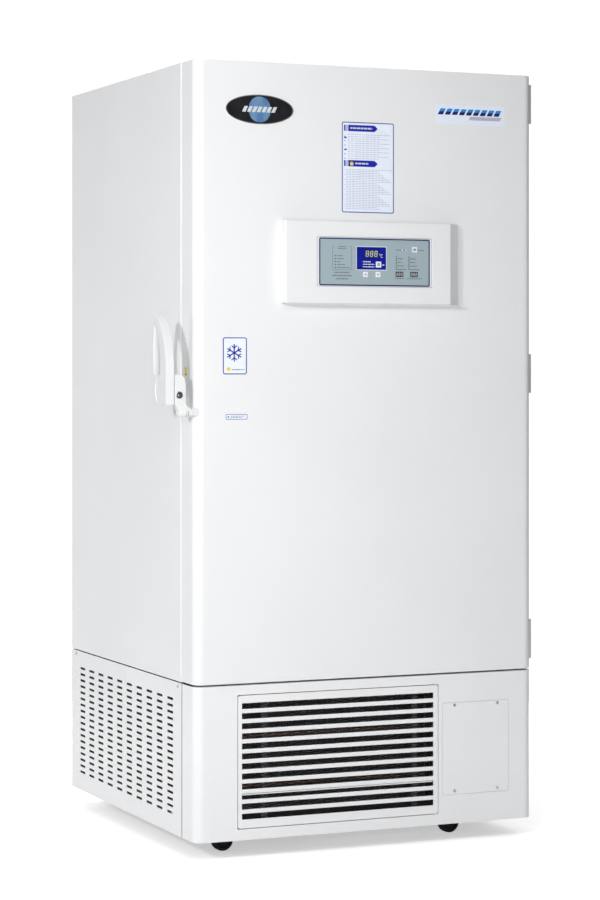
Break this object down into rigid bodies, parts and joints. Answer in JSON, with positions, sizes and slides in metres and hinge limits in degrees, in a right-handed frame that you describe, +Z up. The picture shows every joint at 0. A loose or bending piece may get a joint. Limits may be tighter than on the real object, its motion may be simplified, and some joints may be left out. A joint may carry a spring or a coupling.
{
  "type": "ultra-low-temperature upright freezer",
  "caption": "Upright laboratory deep freezer with hinged insulated door, inner doors, side latch lever, front control panel, lower compressor bay with hinged grille, and casters.",
  "frame": {"origin": "centre of the whole freezer's footprint, at floor level under the casters, door closed", "axes": "+Z up, -Y out through the door towards the user, +X towards the hinge side"},
  "size_m": [1.039, 0.994, 1.98],
  "materials": {
    "white_paint": "fine-textured semi-gloss white powder coat",
    "black_steel": "satin black paint",
    "zinc_steel": "dull zinc-plated steel",
    "stainless": "brushed stainless steel",
    "chrome": "polished chrome",
    "cast_zinc": "satin off-white enamel on die casting",
    "aluminium_fins": "mill aluminium fins",
    "copper": "drawn copper tube",
    "foam": "rigid polyurethane foam",
    "white_plastic": "fine-grained white plastic",
    "grey_plastic": "grey-blue printed film",
    "blue_window": "glossy dark blue display window",
    "button_plastic": "pale button caps",
    "black_plastic": "moulded black plastic",
    "green_board": "glass-fibre circuit board",
    "seal_rubber": "grey silicone seal",
    "wheel_rubber": "black wheel tread",
    "filter_mesh": "black woven filter mesh"
  },
  "bodies": {
    "cabinet": {"access_port_plug": "seal_rubber", "backup_battery": "black_plastic", "base_frame": "black_steel", "base_front_cover": "white_paint", "base_rear_cover": "white_paint", "base_vent_panels": "white_paint", "breaker_frame": "white_plastic", "cabinet_deck": "white_paint", "cabinet_foam": "foam", "cabinet_rear_panel": "zinc_steel", "cabinet_shell": "white_paint", "compressor_first_stage": "black_steel", "compressor_second_stage": "black_steel", "condenser_coil": "aluminium_fins", "electrical_box": "zinc_steel", "fan_motor": "black_steel", "fan_shroud": "black_steel", "front_caster_plates": "zinc_steel", "hinge_cabinet_leaves": "cast_zinc", "hinge_pins": "chrome", "inner_door_pivots": "zinc_steel", "inner_liner": "stainless", "latch_keeper": "cast_zinc", "panel_screws": "zinc_steel", "power_inlet": "black_plastic", "rear_caster_forks": "black_steel", "rear_spacers": "black_plastic", "refrigerant_pipes": "copper", "service_cover": "white_paint", "shelf_supports": "stainless", "shelves": "stainless"},
    "door": {"door_skin": "white_paint", "door_foam": "foam", "door_inner_panel": "white_plastic", "door_gasket": "seal_rubber", "hinge_door_leaves": "cast_zinc", "control_housing": "white_plastic", "control_membrane": "grey_plastic", "display_window": "blue_window", "control_board": "green_board", "handle_pivot": "cast_zinc"},
    "lever": {"handle_grip": "cast_zinc", "lock_housing": "cast_zinc", "latch_hook": "zinc_steel"},
    "lock_barrel": {"key_cylinder": "chrome"},
    "set_button": {"button_set": "button_plastic"},
    "up_button": {"button_up": "button_plastic"},
    "down_button": {"button_down": "button_plastic"},
    "mute_button": {"button_mute": "button_plastic"},
    "grille": {"grille_door": "white_paint", "air_filter": "filter_mesh"},
    "fan": {"fan_blade": "aluminium_fins"},
    "upper_inner_door": {"inner_door_upper": "white_plastic"},
    "lower_inner_door": {"inner_door_lower": "white_plastic"},
    "left_caster": {"caster_fork_left": "black_steel"},
    "right_caster": {"caster_fork_right": "black_steel"},
    "front_left_wheel": {"caster_wheel_front_left": "wheel_rubber"},
    "front_right_wheel": {"caster_wheel_front_right": "wheel_rubber"},
    "rear_left_wheel": {"caster_wheel_rear_left": "wheel_rubber"},
    "rear_right_wheel": {"caster_wheel_rear_right": "wheel_rubber"}
  },
  "joints": [
    {"name": "door_swing", "type": "hinge", "parent": "cabinet", "child": "door", "pos_m": [0.5085, -0.376, 1.2], "axis": [0, 0, 1], "range_deg": [0, 110]},
    {"name": "upper_inner_door_swing", "type": "hinge", "parent": "cabinet", "child": "upper_inner_door", "pos_m": [0.3675, -0.345, 1.53], "axis": [0, 0, 1], "range_deg": [0, 95]},
    {"name": "lower_inner_door_swing", "type": "hinge", "parent": "cabinet", "child": "lower_inner_door", "pos_m": [0.3675, -0.345, 0.87], "axis": [0, 0, 1], "range_deg": [0, 95]},
    {"name": "handle_lever", "type": "hinge", "parent": "door", "child": "lever", "pos_m": [-0.4625, -0.457, 1.1105], "axis": [1, 0, 0], "range_deg": [0, 70]},
    {"name": "key_turn", "type": "hinge", "parent": "lever", "child": "lock_barrel", "pos_m": [-0.484, -0.457, 1.153], "axis": [0, 1, 0], "range_deg": [0, 90]},
    {"name": "set_press", "type": "slide", "parent": "door", "child": "set_button", "axis": [0, 1, 0], "range_m": [0, 0.001], "stiffness_N_per_m": 300, "springref_m": -0.001},
    {"name": "up_press", "type": "slide", "parent": "door", "child": "up_button", "axis": [0, 1, 0], "range_m": [0, 0.001], "stiffness_N_per_m": 300, "springref_m": -0.001},
    {"name": "down_press", "type": "slide", "parent": "door", "child": "down_button", "axis": [0, 1, 0], "range_m": [0, 0.001], "stiffness_N_per_m": 300, "springref_m": -0.001},
    {"name": "mute_press", "type": "slide", "parent": "door", "child": "mute_button", "axis": [0, 1, 0], "range_m": [0, 0.001], "stiffness_N_per_m": 300, "springref_m": -0.001},
    {"name": "grille_swing", "type": "hinge", "parent": "cabinet", "child": "grille", "pos_m": [0.2188, -0.465, 0.2435], "axis": [0, 0, 1], "range_deg": [0, 100]},
    {"name": "fan_spin", "type": "hinge", "parent": "cabinet", "child": "fan", "pos_m": [-0.0525, -0.339, 0.257], "axis": [0, 1, 0], "continuous": true},
    {"name": "left_caster_swivel", "type": "hinge", "parent": "cabinet", "child": "left_caster", "pos_m": [-0.2925, -0.324, 0.07], "axis": [0, 0, 1], "continuous": true},
    {"name": "right_caster_swivel", "type": "hinge", "parent": "cabinet", "child": "right_caster", "pos_m": [0.3475, -0.324, 0.07], "axis": [0, 0, 1], "continuous": true},
    {"name": "front_left_wheel_spin", "type": "hinge", "parent": "left_caster", "child": "front_left_wheel", "pos_m": [-0.3145, -0.324, 0.027], "axis": [0, 1, 0], "continuous": true},
    {"name": "front_right_wheel_spin", "type": "hinge", "parent": "right_caster", "child": "front_right_wheel", "pos_m": [0.3255, -0.324, 0.027], "axis": [0, 1, 0], "continuous": true},
    {"name": "rear_left_wheel_spin", "type": "hinge", "parent": "cabinet", "child": "rear_left_wheel", "pos_m": [-0.2925, 0.391, 0.027], "axis": [1, 0, 0], "continuous": true},
    {"name": "rear_right_wheel_spin", "type": "hinge", "parent": "cabinet", "child": "rear_right_wheel", "pos_m": [0.3475, 0.391, 0.027], "axis": [1, 0, 0], "continuous": true}
  ],
  "couplings": [
    {"joint": "upper_inner_door_swing", "follows": "door_swing", "ratio": 0.85},
    {"joint": "lower_inner_door_swing", "follows": "door_swing", "ratio": 0.85}
  ]
}
